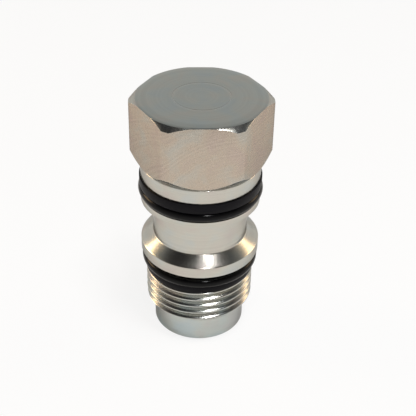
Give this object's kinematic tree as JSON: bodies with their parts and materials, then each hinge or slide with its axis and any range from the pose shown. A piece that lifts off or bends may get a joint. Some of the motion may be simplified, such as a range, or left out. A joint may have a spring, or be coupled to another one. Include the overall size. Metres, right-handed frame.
{
  "type": "screw-in hydraulic cartridge valve",
  "caption": "Screw-in cartridge valve with a hex head, two sealing lands, a threaded section and a nose port; a sprung check poppet holds a smaller sprung relief poppet.",
  "frame": {"origin": "centre of the nose end face", "axes": "+Z along the valve's axis towards the hex head; two of the head's flats face +Y and -Y; the cross ports are centred on +Y"},
  "size_m": [0.0336, 0.0302, 0.064],
  "materials": {
    "plated_steel": "bright clear-zinc plate over a turned surface",
    "nitrile_rubber": "oiled gloss",
    "backup_ring": "matte",
    "hardened_steel": "ground",
    "ptfe": "waxy",
    "filled_ptfe": "waxy",
    "bronze_filled_ptfe": "waxy",
    "phosphated_spring_steel": "dark phosphate",
    "spring_steel": "drawn and oiled",
    "shim_steel": "cold rolled",
    "turned_steel": "turned",
    "brass": "turned"
  },
  "bodies": {
    "cartridge": {"body": "plated_steel", "upper_backup_ring": "backup_ring", "upper_o_ring": "nitrile_rubber", "lower_o_ring": "nitrile_rubber", "lower_backup_ring": "backup_ring", "seat": "hardened_steel", "seat_o_ring": "nitrile_rubber", "seat_backup_ring": "ptfe", "seat_retaining_ring": "phosphated_spring_steel", "lift_stop": "turned_steel", "check_spring": "spring_steel"},
    "check": {"check_poppet": "hardened_steel", "guide_band": "bronze_filled_ptfe", "piston_slide_ring": "filled_ptfe", "piston_energiser": "nitrile_rubber", "setting_shim_1": "shim_steel", "setting_shim_2": "shim_steel", "spring_retainer": "turned_steel", "stem_seal": "ptfe", "retainer_lock_ring": "phosphated_spring_steel", "relief_spring": "spring_steel"},
    "relief": {"relief_poppet": "hardened_steel", "damping_jet": "brass"}
  },
  "joints": [
    {"name": "check_lift", "type": "slide", "parent": "cartridge", "child": "check", "axis": [0, 0, 1], "range_m": [0, 0.0025], "stiffness_N_per_m": 1300, "deforming": ["check_spring"]},
    {"name": "relief_lift", "type": "slide", "parent": "check", "child": "relief", "axis": [0, 0, 1], "range_m": [0, 0.0015], "stiffness_N_per_m": 27000, "deforming": ["relief_spring"]}
  ]
}
